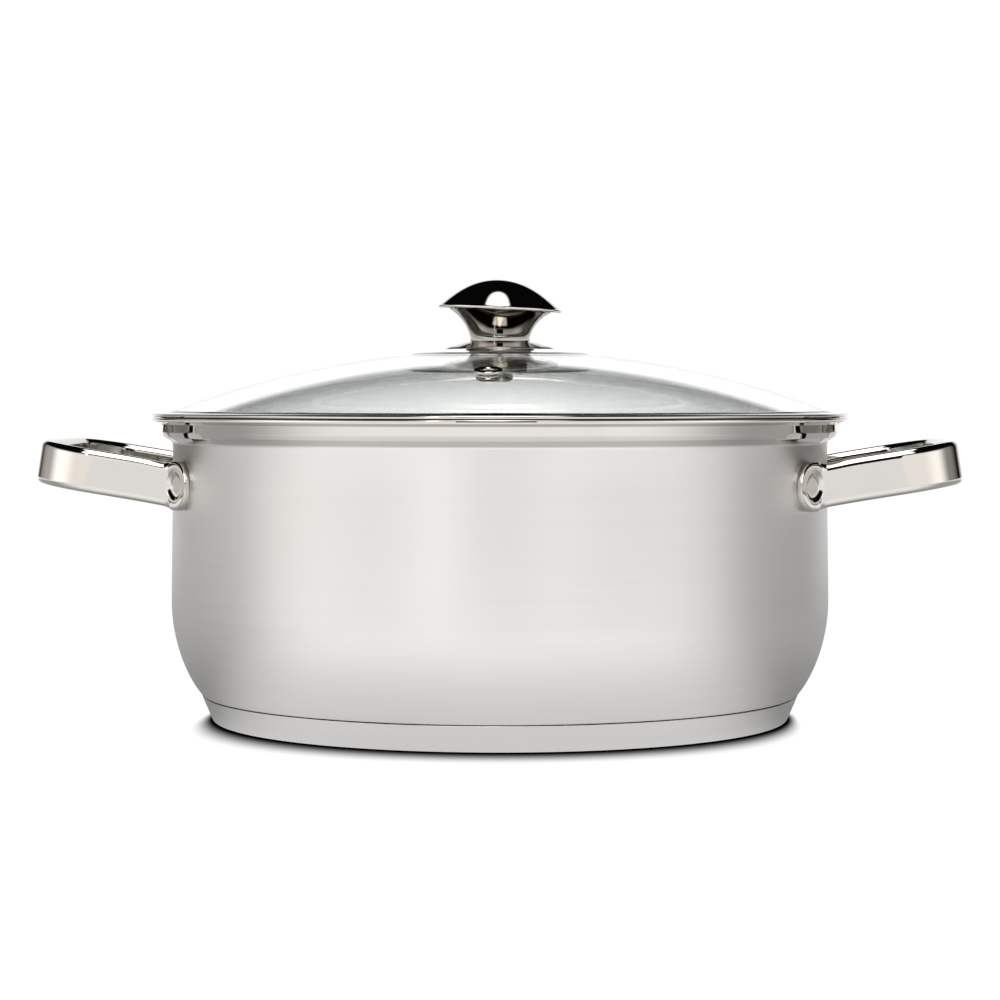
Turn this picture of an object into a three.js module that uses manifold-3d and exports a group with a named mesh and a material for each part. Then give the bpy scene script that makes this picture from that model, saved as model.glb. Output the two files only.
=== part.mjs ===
// Two-handled stainless steel pot with a glass lid, as an assembly of its separate pieces.
// Millimetres, +Z up. The origin is the centre of the base's underside, and +X runs along the
// line through the two handles.
import * as THREE from 'three';
import { mergeVertices } from 'three/addons/utils/BufferGeometryUtils.js';
import Module from 'manifold-3d';

const wasm = await Module();
wasm.setup();

// ---- Driving dimensions ----
const GAP = 0.3; // clearance between touching pieces
const POT_FACETS = 48; // facets round the pot and the lid
const FINE_FACETS = 20; // facets round the knob and its fasteners

// Pot body, drawn from one sheet
const SHEET = 0.8;
const WALL_RADIUS = 120.0;
const WALL_TOP = 101.8;
const BELLY_RADIUS = 120.7;
const BELLY_HEIGHT = 44;
const COLLAR_RADIUS = 125.0;
const COLLAR_TOP = 108.8;
const LIP_RADIUS = 127.5;
const RIM_HEIGHT = 110.8;

// Bonded base: aluminium disc inside a steel cap
const BASE_RADIUS = 105.8;
const SEAM_RADIUS = 109.8;
const SEAM_HEIGHT = 9.3;
const CAP_SHEET = 0.6;
const CORE_TOP = 7.8;

// Handles: a bent bar whose round feet are welded to the wall
const HANDLE_REACH = 166;
const HANDLE_HALF_WIDTH = 46;
const HANDLE_BAR = 5.5;
const HANDLE_HEIGHT = 15.4;
const HANDLE_CORNER = 22;
const HANDLE_ROOT = 115;
const HANDLE_ROOT_HEIGHT = 87.1;
const HANDLE_RISE = THREE.MathUtils.degToRad(9.2);
const HANDLE_EDGE = 2.0;
const FOOT_RADIUS = 8.8;
const FOOT_ANGLE = THREE.MathUtils.degToRad(24);
const FOOT_FACE_ANGLE = THREE.MathUtils.degToRad(36);
const FOOT_FACE_DISTANCE = 123.6;
const FOOT_HEIGHT = 86.7;
const DIMPLE_RADIUS = 5.3;
const DIMPLE_DEPTH = 1.2;

// Glass lid
const DOME_RADIUS = 335;
const DOME_CENTRE = -199.6;
const GLASS = 4.0;
const GLASS_RADIUS = 122.3;
const SEAT_RADIUS = 32; // flat ground for the knob
const SEAT_HEIGHT = 134.2;
const SCREW_HOLE = 5.6;
const VENT_DISTANCE = 76;
const VENT_HOLE = 3.6;

// Steel band round the glass, and the ledge in it that carries the glass
const BAND_RADIUS = 127.7;
const BAND_BOTTOM = RIM_HEIGHT + GAP;
const BAND_TOP = 112.2;
const SKIRT_RADIUS = 123.1;
const SKIRT_BOTTOM = 106.2;
const BAND_SHEET = 0.5;
const LEDGE_RADIUS = 119.6;

// Knob: heights above the glass's flat seat. Its two shells lean a little on their base.
const KNOB_LEAN = THREE.MathUtils.degToRad(2.6);
const KNOB_BASE_RADIUS = 20;
const KNOB_WAIST = 11;
const KNOB_SKIRT_RADIUS = 18.8;
const KNOB_RADIUS = 22.8;
const KNOB_BASE_TOP = 4.4;
const KNOB_RIM = 16.4;
const KNOB_TOP = 27.2;
const KNOB_SHEET = 0.8;
const SCREW_RADIUS = 2.5;

// ---- Materials ----
const finishes = {
  brushed: { color: 0xc9c7c2, roughness: 0.35, metalness: 1 },
  polished: { color: 0xd8d8d6, roughness: 0.08, metalness: 1 },
  aluminium: { color: 0xb9bbbd, roughness: 0.45, metalness: 1 },
  glass: { color: 0xdbe8e2, roughness: 0.03, metalness: 0, transparent: true, opacity: 0.3 },
  silicone: { color: 0xd9dad6, roughness: 0.7, metalness: 0 },
};

function piece(name, geometry, finish) {
  const mesh = new THREE.Mesh(geometry, new THREE.MeshStandardMaterial(finishes[finish]));
  mesh.name = name;
  return mesh;
}

// ---- Geometry helpers ----

// Turns a profile of [radius, height] points about +Z. It runs anticlockwise, from axis to axis
// or, with `ring`, round a closed section.
function turned(profile, facets, ring = false) {
  const points = profile.map(([radius, height]) => new THREE.Vector2(radius, height));
  if (ring) points.push(points[0].clone());
  return new THREE.LatheGeometry(points, facets).rotateX(Math.PI / 2);
}

function toSolid(geometry) {
  const bare = geometry.clone();
  bare.deleteAttribute('normal');
  bare.deleteAttribute('uv');
  const merged = mergeVertices(bare, 1e-4);
  const triangles = [];
  for (let i = 0; i < merged.index.count; i += 3) {
    const [a, b, c] = merged.index.array.slice(i, i + 3);
    if (a !== b && b !== c && c !== a) triangles.push(a, b, c);
  }
  return new wasm.Manifold(new wasm.Mesh({
    numProp: 3,
    vertProperties: merged.attributes.position.array,
    triVerts: new Uint32Array(triangles),
  }));
}

function toGeometry(solid) {
  const mesh = solid.getMesh();
  const geometry = new THREE.BufferGeometry();
  geometry.setAttribute('position', new THREE.BufferAttribute(mesh.vertProperties, 3));
  geometry.setIndex(new THREE.BufferAttribute(mesh.triVerts, 1));
  geometry.computeVertexNormals();
  return geometry;
}

// Height of a dome concentric with the glass's outer face, `depth` inside it.
function domeHeight(radius, depth = 0) {
  return DOME_CENTRE + Math.sqrt((DOME_RADIUS - depth) ** 2 - radius ** 2);
}

function domeArc(fromRadius, toRadius, steps, depth = 0) {
  return Array.from({ length: steps + 1 }, (_, i) => {
    const radius = THREE.MathUtils.lerp(fromRadius, toRadius, i / steps);
    return [radius, domeHeight(radius, depth)];
  });
}

// ---- Pot body ----

const lowerCurve = new THREE.CubicBezierCurve(
  new THREE.Vector2(SEAM_RADIUS, SEAM_HEIGHT + GAP),
  new THREE.Vector2(114.5, 15),
  new THREE.Vector2(BELLY_RADIUS, 28),
  new THREE.Vector2(BELLY_RADIUS, BELLY_HEIGHT),
);

// The rounded lower wall, moved inwards along its normal.
function lowerWall(inset, steps = 6) {
  return Array.from({ length: steps + 1 }, (_, i) => {
    const point = lowerCurve.getPoint(i / steps);
    const along = lowerCurve.getTangent(i / steps);
    return [point.x - along.y * inset, point.y + along.x * inset];
  });
}

function potOutside() {
  return [
    [0, CORE_TOP + GAP],
    [107.4, CORE_TOP + GAP],
    [108.4, SEAM_HEIGHT + GAP],
    ...lowerWall(0),
    [WALL_RADIUS, 90],
    [WALL_RADIUS, WALL_TOP],
    [COLLAR_RADIUS - 1.6, WALL_TOP + 2],
    [COLLAR_RADIUS - 0.6, WALL_TOP + 3.4],
    [COLLAR_RADIUS, COLLAR_TOP],
    [LIP_RADIUS - 0.5, COLLAR_TOP + 0.9],
    [LIP_RADIUS, RIM_HEIGHT - 0.5],
    [LIP_RADIUS - 0.4, RIM_HEIGHT],
  ];
}

function potInside() {
  return [
    [COLLAR_RADIUS, RIM_HEIGHT],
    [COLLAR_RADIUS - SHEET, COLLAR_TOP],
    [COLLAR_RADIUS - 0.7 - SHEET, WALL_TOP + 3.6],
    [COLLAR_RADIUS - 1.6 - SHEET, WALL_TOP + 2.6],
    [WALL_RADIUS - SHEET, WALL_TOP + 0.5],
    [WALL_RADIUS - SHEET, 90],
    ...lowerWall(SHEET).reverse(),
    [107.0, CORE_TOP + GAP + SHEET],
    [0, CORE_TOP + GAP + SHEET],
  ];
}

function potShell() {
  return turned([...potOutside(), ...potInside()], POT_FACETS);
}

// A solid of the pot's outside grown by GAP, for trimming what is welded to the wall.
function wallCutter() {
  const grown = potOutside().slice(3, -5).map(([radius, height]) => [radius + GAP, height]);
  const [first, last] = [grown[0], grown[grown.length - 1]];
  return toSolid(turned([[0, first[1]], ...grown, [0, last[1]]], POT_FACETS));
}

// ---- Bonded base ----

function baseRadiusAt(height) {
  return THREE.MathUtils.lerp(BASE_RADIUS, SEAM_RADIUS, height / SEAM_HEIGHT);
}

function baseCap() {
  return turned([
    [0, 0],
    [BASE_RADIUS - 1.5, 0],
    [BASE_RADIUS - 0.3, 0.4],
    [baseRadiusAt(1.6), 1.6],
    [SEAM_RADIUS, SEAM_HEIGHT],
    [SEAM_RADIUS - CAP_SHEET, SEAM_HEIGHT],
    [baseRadiusAt(1.6) - CAP_SHEET, 1.6],
    [BASE_RADIUS - 1.5, CAP_SHEET],
    [0, CAP_SHEET],
  ], POT_FACETS);
}

function baseCore() {
  const inner = CAP_SHEET + GAP;
  return turned([
    [0, inner],
    [BASE_RADIUS - 2, inner],
    [baseRadiusAt(1.9) - inner, 1.9],
    [107.0, CORE_TOP],
    [0, CORE_TOP],
  ], POT_FACETS);
}

// ---- Handles ----

// Plan of the bar: a U whose inner line is `inset` inside the outer one.
function barLine(shape, inset, reversed) {
  const half = HANDLE_HALF_WIDTH;
  const centreX = HANDLE_REACH - HANDLE_CORNER;
  const centreY = half - HANDLE_CORNER;
  const radius = HANDLE_CORNER - inset;
  const root = HANDLE_ROOT - 6;
  const side = reversed ? 1 : -1;
  shape.lineTo(root, side * (half - inset));
  shape.lineTo(centreX, side * (half - inset));
  if (reversed) {
    shape.absarc(centreX, centreY, radius, Math.PI / 2, 0, true);
    shape.absarc(centreX, -centreY, radius, 0, -Math.PI / 2, true);
  } else {
    shape.absarc(centreX, -centreY, radius, -Math.PI / 2, 0, false);
    shape.absarc(centreX, centreY, radius, 0, Math.PI / 2, false);
  }
  shape.lineTo(root, -side * (half - inset));
}

function handleBar() {
  const shape = new THREE.Shape();
  shape.moveTo(HANDLE_ROOT - 6, -HANDLE_HALF_WIDTH);
  barLine(shape, 0, false);
  barLine(shape, HANDLE_BAR, true);
  const bar = new THREE.ExtrudeGeometry(shape, {
    depth: HANDLE_HEIGHT - 2 * HANDLE_EDGE,
    bevelThickness: HANDLE_EDGE,
    bevelSize: HANDLE_EDGE,
    bevelOffset: -HANDLE_EDGE,
    bevelSegments: 1,
    curveSegments: 6,
  });
  return bar
    .translate(-HANDLE_ROOT, 0, HANDLE_EDGE - HANDLE_HEIGHT / 2)
    .rotateY(-HANDLE_RISE)
    .translate(HANDLE_ROOT, 0, HANDLE_ROOT_HEIGHT);
}

// One round foot, with the pressed dimple of its weld. `side` is -1 or +1 along Y.
function handleFoot(side) {
  const depth = 12;
  const disc = new THREE.CylinderGeometry(FOOT_RADIUS, FOOT_RADIUS, depth, FINE_FACETS);
  const dimple = new THREE.CylinderGeometry(DIMPLE_RADIUS, DIMPLE_RADIUS - 0.8, 2 * DIMPLE_DEPTH, 24);
  disc.translate(0, -depth / 2, 0);
  const place = (geometry) => geometry
    .rotateZ(-Math.PI / 2)
    .rotateZ(side * FOOT_FACE_ANGLE)
    .translate(
      FOOT_FACE_DISTANCE * Math.cos(FOOT_ANGLE),
      side * FOOT_FACE_DISTANCE * Math.sin(FOOT_ANGLE),
      FOOT_HEIGHT,
    );
  return toSolid(place(disc)).subtract(toSolid(place(dimple)));
}

function handle(cutter) {
  const joined = toSolid(handleBar()).add(handleFoot(-1)).add(handleFoot(1));
  return toGeometry(joined.subtract(cutter));
}

// ---- Lid: glass, band and seal ----

function lidGlass() {
  const edgeTop = domeHeight(GLASS_RADIUS) - 0.4;
  const profile = [
    [GLASS_RADIUS, edgeTop],
    ...domeArc(SEAT_RADIUS + 1.4, GLASS_RADIUS - 0.6, 5).reverse(),
    [SEAT_RADIUS, SEAT_HEIGHT],
    [SCREW_HOLE, SEAT_HEIGHT],
    [SCREW_HOLE, SEAT_HEIGHT - GLASS],
    [SEAT_RADIUS + 0.4, SEAT_HEIGHT - GLASS],
    ...domeArc(SEAT_RADIUS + 1.8, GLASS_RADIUS, 5, GLASS),
  ];
  const blank = toSolid(turned(profile, POT_FACETS, true));
  const tilt = Math.asin(VENT_DISTANCE / DOME_RADIUS);
  const drill = new THREE.CylinderGeometry(VENT_HOLE, VENT_HOLE, 4 * GLASS, FINE_FACETS)
    .rotateX(Math.PI / 2 + tilt)
    .translate(0, -VENT_DISTANCE, domeHeight(VENT_DISTANCE));
  return toGeometry(blank.subtract(toSolid(drill)));
}

// The band's flat rim rests on the pot's lip, its skirt centres the lid in the collar, and the
// ledge inside the skirt carries the glass.
function lidBand() {
  return turned([
    [LEDGE_RADIUS, SKIRT_BOTTOM],
    [SKIRT_RADIUS - 0.4, SKIRT_BOTTOM],
    [SKIRT_RADIUS, SKIRT_BOTTOM + 0.4],
    [SKIRT_RADIUS, BAND_BOTTOM],
    [BAND_RADIUS - 0.4, BAND_BOTTOM],
    [BAND_RADIUS, (BAND_BOTTOM + BAND_TOP) / 2],
    [BAND_RADIUS - 0.4, BAND_TOP],
    [SKIRT_RADIUS + 0.9, BAND_TOP + 0.2],
    [SKIRT_RADIUS - 0.2, BAND_TOP + 0.3],
    [SKIRT_RADIUS - BAND_SHEET, BAND_TOP + 0.1],
    [SKIRT_RADIUS - BAND_SHEET, SKIRT_BOTTOM + BAND_SHEET],
    [LEDGE_RADIUS, SKIRT_BOTTOM + BAND_SHEET],
  ], POT_FACETS, true);
}

function rimSeal() {
  const bottom = SKIRT_BOTTOM + BAND_SHEET + GAP;
  const inner = LEDGE_RADIUS + 0.2;
  return turned([
    [inner, bottom],
    [GLASS_RADIUS, bottom],
    [GLASS_RADIUS, domeHeight(GLASS_RADIUS, GLASS) - GAP],
    [inner, domeHeight(inner, GLASS) - GAP],
  ], POT_FACETS, true);
}

// ---- Steam vent, in a frame whose +Z leaves the glass and whose origin is on its outer face ----

function ventEyelet() {
  return turned([
    [2.3, -5.3],
    [4.1, -5.3],
    [4.4, -4.9],
    [4.1, -4.4],
    [3.2, -4.4],
    [3.2, GAP],
    [4.9, GAP],
    [5.15, 0.7],
    [4.6, 1.2],
    [3.0, 1.2],
    [2.3, 0.6],
  ], FINE_FACETS, true);
}

// ---- Knob, in a frame whose origin is the middle of the glass's flat seat ----

// Conical seat plate with a collar that stands inside the skirt.
function knobBase() {
  return turned([
    [4.2, 1.1],
    [KNOB_WAIST + 1.2, 1.1],
    [KNOB_WAIST + 1.6, 1.5],
    [KNOB_BASE_RADIUS - 0.6, 1.5],
    [KNOB_BASE_RADIUS, 1.7],
    [KNOB_BASE_RADIUS - 0.4, 2.1],
    [KNOB_WAIST + 2.4, KNOB_BASE_TOP - 0.4],
    [KNOB_WAIST, KNOB_BASE_TOP],
    [KNOB_WAIST - 1.9, KNOB_BASE_TOP + 0.2],
    [KNOB_WAIST - 1.9, KNOB_BASE_TOP + 2.6],
    [KNOB_WAIST - 3.4, KNOB_BASE_TOP + 2.6],
    [KNOB_WAIST - 3.4, KNOB_BASE_TOP],
    [4.2, KNOB_BASE_TOP],
  ], FINE_FACETS, true);
}

// Leans a shell of the knob: not at all at its base, and by KNOB_LEAN from the rim up.
function leaned(geometry) {
  const position = geometry.attributes.position;
  for (let i = 0; i < position.count; i += 1) {
    const height = position.getZ(i);
    const share = THREE.MathUtils.inverseLerp(KNOB_BASE_TOP, KNOB_RIM - 1, height);
    const slope = Math.tan(KNOB_LEAN) * THREE.MathUtils.clamp(share, 0, 1);
    position.setZ(i, height - position.getX(i) * slope);
  }
  return geometry;
}

function knobSkirt() {
  const flare = new THREE.CubicBezierCurve(
    new THREE.Vector2(KNOB_WAIST, KNOB_BASE_TOP + GAP),
    new THREE.Vector2(KNOB_WAIST, 8.2),
    new THREE.Vector2(KNOB_WAIST + 3, 13.2),
    new THREE.Vector2(KNOB_SKIRT_RADIUS, KNOB_RIM - 0.9),
  );
  const outside = flare.getPoints(5).map((point) => [point.x, point.y]);
  const inside = flare.getPoints(5).map((point) => [point.x - 1, point.y + 0.15]).reverse();
  return turned([...outside, ...inside], FINE_FACETS, true);
}

function knobCap() {
  const crown = new THREE.CubicBezierCurve(
    new THREE.Vector2(KNOB_RADIUS, KNOB_RIM),
    new THREE.Vector2(KNOB_RADIUS - 4.8, KNOB_RIM + 4),
    new THREE.Vector2(KNOB_RADIUS - 12, KNOB_TOP),
    new THREE.Vector2(0, KNOB_TOP),
  );
  const outside = crown.getPoints(7).map((point) => [point.x, point.y]);
  const inside = outside.slice(1).reverse().map(([radius, height]) => [
    Math.max(0, radius - 0.3),
    height - KNOB_SHEET,
  ]);
  return turned([
    ...inside,
    [KNOB_SKIRT_RADIUS - 1, KNOB_RIM + 0.2],
    [KNOB_SKIRT_RADIUS - 1, KNOB_RIM - 0.6],
    [KNOB_RADIUS - 0.4, KNOB_RIM - 0.6],
    ...outside,
  ], FINE_FACETS);
}

function knobInsert() {
  return turned([
    [0, 15.2],
    [SCREW_RADIUS + GAP, 14.2],
    [SCREW_RADIUS + GAP, 5.1],
    [6, 5.1],
    [7, 6.2],
    [7, 18.2],
    [6, 19.2],
    [0, 19.2],
  ], FINE_FACETS);
}

function washer(innerRadius, outerRadius, bottom, top) {
  return turned([
    [innerRadius, bottom],
    [outerRadius, bottom],
    [outerRadius, top],
    [innerRadius, top],
  ], FINE_FACETS, true);
}

// Pan-head screw, driven from below the glass.
function knobScrew() {
  return turned([
    [0, -10.4],
    [3.4, -10.2],
    [4.8, -9.2],
    [5, -8.2],
    [SCREW_RADIUS, -8.2],
    [SCREW_RADIUS, 12.6],
    [SCREW_RADIUS - 0.8, 13.6],
    [0, 13.6],
  ], FINE_FACETS);
}

// ---- Assembly ----

function buildPot() {
  const pot = new THREE.Group();
  pot.add(piece('pot_shell', potShell(), 'brushed'));
  pot.add(piece('base_core', baseCore(), 'aluminium'));
  pot.add(piece('base_cap', baseCap(), 'brushed'));
  const bar = handle(wallCutter());
  [['right_handle', 0], ['left_handle', Math.PI]].forEach(([name, turn]) => {
    const part = piece(name, bar.clone(), 'polished');
    part.rotation.z = turn;
    pot.add(part);
  });
  return pot;
}

function buildVent() {
  const vent = new THREE.Group();
  vent.position.set(0, -VENT_DISTANCE, domeHeight(VENT_DISTANCE));
  vent.rotation.x = Math.asin(VENT_DISTANCE / DOME_RADIUS);
  vent.add(piece('vent_eyelet', ventEyelet(), 'polished'));
  return vent;
}

function buildKnob() {
  const knob = new THREE.Group();
  knob.position.z = SEAT_HEIGHT;
  knob.add(piece('knob_cap', leaned(knobCap()), 'polished'));
  knob.add(piece('knob_skirt', leaned(knobSkirt()), 'polished'));
  knob.add(piece('knob_base', knobBase(), 'polished'));
  knob.add(piece('knob_insert', knobInsert(), 'aluminium'));
  knob.add(piece('knob_screw', knobScrew(), 'polished'));
  const bore = SCREW_RADIUS + GAP;
  const under = -GLASS;
  knob.add(piece('upper_seat_washer', washer(6, 11.5, GAP, 0.8), 'silicone'));
  knob.add(piece('screw_sleeve', washer(bore, 4.2, under, 0.3), 'silicone'));
  knob.add(piece('lower_seat_washer', washer(bore, 10, under - 2.0, under - GAP), 'silicone'));
  knob.add(piece('screw_washer', washer(bore, 8, under - 3.1, under - 2.3), 'polished'));
  knob.add(piece('lock_washer', washer(bore, 4.6, under - 3.9, under - 3.4), 'polished'));
  return knob;
}

function buildLid() {
  const lid = new THREE.Group();
  lid.add(piece('lid_glass', lidGlass(), 'glass'));
  lid.add(piece('lid_band', lidBand(), 'polished'));
  lid.add(piece('rim_seal', rimSeal(), 'silicone'));
  lid.add(buildVent());
  lid.add(buildKnob());
  return lid;
}

const stockPot = new THREE.Group();
stockPot.add(buildPot());
stockPot.add(buildLid());

export default stockPot;
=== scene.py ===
"""Stainless steel stock pot with a glass lid: its finished surfaces, its studio and its camera.

Everything is in metres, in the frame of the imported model: +Z up, the origin under the centre of
the base, and +X along the line through the two handles.
"""

from __future__ import annotations

import logging
import math
from dataclasses import dataclass, field
from enum import Enum
from typing import Iterable, Sequence

import bmesh
import bpy
from mathutils import Matrix, Vector


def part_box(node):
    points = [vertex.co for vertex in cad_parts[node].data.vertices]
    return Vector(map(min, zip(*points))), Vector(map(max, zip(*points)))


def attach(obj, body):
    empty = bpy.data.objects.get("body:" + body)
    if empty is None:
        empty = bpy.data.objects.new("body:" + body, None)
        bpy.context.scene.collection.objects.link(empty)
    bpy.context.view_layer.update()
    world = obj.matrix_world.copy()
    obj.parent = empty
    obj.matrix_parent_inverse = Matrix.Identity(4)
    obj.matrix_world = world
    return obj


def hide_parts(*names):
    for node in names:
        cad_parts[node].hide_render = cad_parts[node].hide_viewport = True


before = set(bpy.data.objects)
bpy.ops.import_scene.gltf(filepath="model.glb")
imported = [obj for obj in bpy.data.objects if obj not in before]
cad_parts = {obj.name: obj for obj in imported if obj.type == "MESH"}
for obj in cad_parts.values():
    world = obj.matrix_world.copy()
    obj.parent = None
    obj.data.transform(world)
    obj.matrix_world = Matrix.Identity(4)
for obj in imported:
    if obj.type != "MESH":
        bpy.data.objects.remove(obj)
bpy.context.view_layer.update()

log = logging.getLogger("stock_pot")

Point = tuple[float, float]
Colour = tuple[float, float, float]

MM = 0.001
LIP_OVERHANG = 7.5
SEAT_GAP = 0.3


class BodyName(Enum):
    """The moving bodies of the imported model."""

    POT = "pot"
    LID = "lid"


class Slot(Enum):
    """Material slots of the record."""

    BRUSHED = "brushed_steel"
    POLISHED = "polished_steel"
    CORE = "aluminium_core"
    GLASS = "lid_glass"
    SILICONE = "silicone"


# ---- Shader maths ----


class Sock:
    """A shader output that takes part in Python expressions, each operator adding a Math node."""

    def __init__(self, tree: "ShaderTree", socket: bpy.types.NodeSocket) -> None:
        """Wraps a socket.

        Args:
            tree: The tree that owns the socket.
            socket: The output to wrap.
        """
        self.tree = tree
        self.socket = socket

    def _math(self, operation: str, first: object, second: object = None) -> "Sock":
        """Adds one Math node.

        Args:
            operation: The node's operation.
            first: The first value or socket.
            second: The second value or socket, if the operation has one.

        Returns:
            The node's result.
        """
        values = {0: first} if second is None else {0: first, 1: second}
        return self.tree.node("ShaderNodeMath", {"operation": operation}, values)

    def __add__(self, other: object) -> "Sock":
        """Returns self + other."""
        return self._math("ADD", self, other)

    def __radd__(self, other: object) -> "Sock":
        """Returns other + self."""
        return self._math("ADD", other, self)

    def __sub__(self, other: object) -> "Sock":
        """Returns self - other."""
        return self._math("SUBTRACT", self, other)

    def __rsub__(self, other: object) -> "Sock":
        """Returns other - self."""
        return self._math("SUBTRACT", other, self)

    def __mul__(self, other: object) -> "Sock":
        """Returns self * other."""
        return self._math("MULTIPLY", self, other)

    def __rmul__(self, other: object) -> "Sock":
        """Returns other * self."""
        return self._math("MULTIPLY", other, self)

    def __truediv__(self, other: object) -> "Sock":
        """Returns self / other."""
        return self._math("DIVIDE", self, other)

    def ramp(self, low: float, high: float) -> "Sock":
        """Returns a smooth rise from 0 at low to 1 at high."""
        settings = {"interpolation_type": "SMOOTHSTEP"}
        values = {"Value": self, "From Min": low, "From Max": high}
        return self.tree.node("ShaderNodeMapRange", settings, values)

    def fade(self, low: float, high: float) -> "Sock":
        """Returns a smooth fall from 1 at low to 0 at high."""
        return 1 - self.ramp(low, high)

    def at_least(self, low: float) -> "Sock":
        """Returns self, or low where self is below it."""
        return self._math("MAXIMUM", self, low)

    def absolute(self) -> "Sock":
        """Returns self without its sign."""
        return self._math("ABSOLUTE", self)


class ShaderTree:
    """A material's or a world's node tree, with one method that adds any node."""

    def __init__(self, owner: bpy.types.ID, output_type: str) -> None:
        """Empties the owner's tree and adds its output.

        Args:
            owner: A material or world.
            output_type: The type of its output node.
        """
        owner.use_nodes = True
        self.tree = owner.node_tree
        self.tree.nodes.clear()
        self.output = self.tree.nodes.new(output_type)

    def node(
        self,
        kind: str,
        settings: dict[str, object] | None = None,
        values: dict[str | int, object] | None = None,
        result: str | int = 0,
    ) -> Sock:
        """Adds a node.

        Args:
            kind: The node's type.
            settings: Properties of the node, set before its sockets.
            values: Values or links of its inputs, by name or number.
            result: The output to return.

        Returns:
            One output, wrapped.
        """
        made = self.tree.nodes.new(kind)
        for name, value in (settings or {}).items():
            setattr(made, name, value)
        for name, value in (values or {}).items():
            if isinstance(value, Sock):
                self.tree.links.new(value.socket, made.inputs[name])
            else:
                made.inputs[name].default_value = value
        return Sock(self, made.outputs[result])

    def mix_colour(self, factor: object, first: object, second: object) -> Sock:
        """Blends two colours.

        Args:
            factor: 0 for the first, 1 for the second.
            first: A colour or socket.
            second: A colour or socket.

        Returns:
            The blended colour.
        """
        settings = {"data_type": "RGBA"}
        return self.node("ShaderNodeMix", settings, {0: factor, 6: first, 7: second}, 2)

    def mix_value(self, factor: object, first: object, second: object) -> Sock:
        """Blends two values: the first where factor is 0, the second where it is 1."""
        return self.node("ShaderNodeMix", {"data_type": "FLOAT"}, {0: factor, 2: first, 3: second})

    def parts(self, vector: Sock) -> list[Sock]:
        """Returns a vector's three parts."""
        made = self.node("ShaderNodeSeparateXYZ", None, {"Vector": vector}).socket.node
        return [Sock(self, output) for output in made.outputs]

    def length(self, vector: Sock) -> Sock:
        """Returns a vector's length."""
        return self.node("ShaderNodeVectorMath", {"operation": "LENGTH"}, {0: vector}, "Value")

    def ray(self, kind: str) -> Sock:
        """Returns 1 for rays of one kind, such as Is Camera Ray, and 0 for the others."""
        return self.node("ShaderNodeLightPath", result=kind)

    def own_coordinates(self, scale: tuple[float, float, float] = (1.0, 1.0, 1.0)) -> Sock:
        """Returns the piece's own coordinates, in metres, times scale."""
        place = self.node("ShaderNodeTexCoord", result="Object")
        values = {"Vector": place, "Scale": scale}
        return self.node("ShaderNodeMapping", {"vector_type": "POINT"}, values)

    def noise(self, scale: tuple[float, float, float], detail: float = 2.0) -> Sock:
        """Returns noise between 0 and 1.

        Args:
            scale: Cycles per metre along each axis.
            detail: Octaves.

        Returns:
            The noise value.
        """
        where = self.own_coordinates(scale)
        return self.node("ShaderNodeTexNoise", None, {"Vector": where, "Scale": 1.0, "Detail": detail})

    def finish(self, shader: Sock) -> None:
        """Links the shader to the output."""
        self.tree.links.new(shader.socket, self.output.inputs["Surface"])


# ---- Finishes ----


def opaque(colour: Colour, share: float = 1.0) -> tuple[float, float, float, float]:
    """Returns a colour times share, with full alpha."""
    return (*(share * part for part in colour), 1.0)


@dataclass(frozen=True)
class Finish:
    """A named finish, made of one Principled shader."""

    name: str

    def inputs(self, tree: ShaderTree) -> dict[str, object]:
        """Returns the shader's inputs, which each finish gives in its own way.

        Args:
            tree: The tree to add nodes to.

        Returns:
            The values or links of the Principled shader, by socket.
        """
        raise NotImplementedError

    def material(self) -> bpy.types.Material:
        """Returns the finish as a material."""
        made = bpy.data.materials.new(self.name)
        tree = ShaderTree(made, "ShaderNodeOutputMaterial")
        tree.finish(tree.node("ShaderNodeBsdfPrincipled", None, self.inputs(tree)))
        return made


@dataclass(frozen=True)
class SatinSteel(Finish):
    """Steel brushed along circles about the pot's axis."""

    name: str = "satin_steel"
    colour: Colour = (0.80, 0.79, 0.775)
    roughness: float = 0.40
    lines_per_metre: float = 2600.0
    bands_per_metre: float = 312.0
    anisotropy: float = 0.5
    turn: float = 0.25
    flat: bool = False

    def inputs(self, tree: ShaderTree) -> dict[str, object]:
        """Returns the inputs: brush lines in broader bands, under a faint haze."""
        lines = self._lines(tree, self.lines_per_metre)
        bands = self._lines(tree, self.bands_per_metre)
        haze = tree.noise((14.0, 14.0, 9.0), 3.0)
        tone = 0.94 + lines * 0.04 + bands * 0.02 + haze * 0.03
        dark = opaque(self.colour, 0.82)
        height = {"Strength": 0.05, "Distance": 0.00005, "Height": lines}
        return {
            "Base Color": tree.mix_colour(tone.ramp(0.90, 1.05), dark, opaque(self.colour)),
            "Metallic": 1.0,
            "Roughness": self.roughness - 0.05 + lines * 0.06 + haze * 0.05,
            "Anisotropic": self.anisotropy,
            "Anisotropic Rotation": self.turn,
            "Normal": tree.node("ShaderNodeBump", None, height),
        }

    def _lines(self, tree: ShaderTree, count: float) -> Sock:
        """Returns fine brush lines, along the wall or, on a flat face, in rings.

        Args:
            tree: The tree to add to.
            count: Lines per metre.

        Returns:
            A value between 0 and 1.
        """
        if not self.flat:
            return tree.noise((9.0, 9.0, count), 2.0)
        radius = tree.length(tree.own_coordinates((1.0, 1.0, 0.0)))
        ring = tree.node("ShaderNodeCombineXYZ", None, {"X": radius * count, "Y": 0.0, "Z": 0.0})
        return tree.node("ShaderNodeTexNoise", None, {"Vector": ring, "Scale": 1.0, "Detail": 2.0})


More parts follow.
